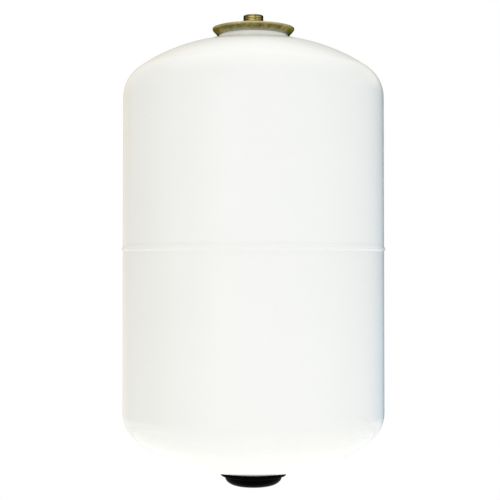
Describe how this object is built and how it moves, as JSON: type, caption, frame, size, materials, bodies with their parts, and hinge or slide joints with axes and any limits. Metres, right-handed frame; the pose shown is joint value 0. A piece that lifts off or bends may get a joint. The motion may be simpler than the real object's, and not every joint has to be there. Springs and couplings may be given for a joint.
{
  "type": "expansion vessel",
  "caption": "Upright cylindrical steel expansion vessel with domed ends, a threaded water spigot on a clamped flange at the top and a covered air valve at the bottom.",
  "frame": {"origin": "centre of the open end of the water spigot, where the pipe fitting starts", "axes": "+Z out along the spigot, away from the vessel, which hangs below the origin; X and Y are any two level directions, because every piece is turned about Z"},
  "size_m": [0.2722, 0.2722, 0.487],
  "materials": {
    "white_paint": "gloss white powder coat",
    "yellow_plating": "dull yellow zinc plating, mottled",
    "liner_plastic": "natural polypropylene",
    "bladder_rubber": "matt black butyl rubber",
    "valve_brass": "turned brass",
    "washer_steel": "zinc plated",
    "seal_rubber": "matt",
    "gasket_red": "matt",
    "spring_steel": "bright wire",
    "dust_cap_plastic": "moulded",
    "cover_plastic": "moulded, semi-gloss"
  },
  "bodies": {
    "vessel": {"upper_shell": "white_paint", "lower_shell": "white_paint", "girth_weld_bead": "white_paint", "neck_ring": "white_paint", "neck_weld_bead": "white_paint", "clamp_flange": "yellow_plating", "spigot": "yellow_plating", "spigot_weld_bead": "yellow_plating", "connection_liner": "liner_plastic", "bladder": "bladder_rubber", "valve_body": "valve_brass", "valve_grommet": "seal_rubber", "valve_washer": "washer_steel", "valve_nut": "valve_brass", "core_barrel": "valve_brass", "core_barrel_seal": "gasket_red", "core_spring": "spring_steel"},
    "protective_cap": {"protective_cap": "cover_plastic"},
    "dust_cap_thread": {"dust_cap_seal": "seal_rubber"},
    "dust_cap": {"dust_cap": "dust_cap_plastic"},
    "core_pin": {"core_pin": "valve_brass", "core_poppet_seal": "seal_rubber"}
  },
  "joints": [
    {"name": "protective_cap_pull", "type": "slide", "parent": "vessel", "child": "protective_cap", "axis": [0, 0, -1], "range_m": [0, 0.06]},
    {"name": "dust_cap_travel", "type": "slide", "parent": "vessel", "child": "dust_cap_thread", "axis": [0, 0, -1], "range_m": [0, 0.00476]},
    {"name": "dust_cap_turn", "type": "hinge", "parent": "dust_cap_thread", "child": "dust_cap", "pos_m": [0, 0, -0.47], "axis": [0, 0, -1], "range_deg": [0, 2160]},
    {"name": "core_pin_press", "type": "slide", "parent": "vessel", "child": "core_pin", "axis": [0, 0, 1], "range_m": [0, 0.0013], "stiffness_N_per_m": 3000, "deforming": ["core_spring"]}
  ],
  "couplings": [
    {"joint": "dust_cap_turn", "follows": "dust_cap_travel", "rad_per_m": 7913.3}
  ]
}
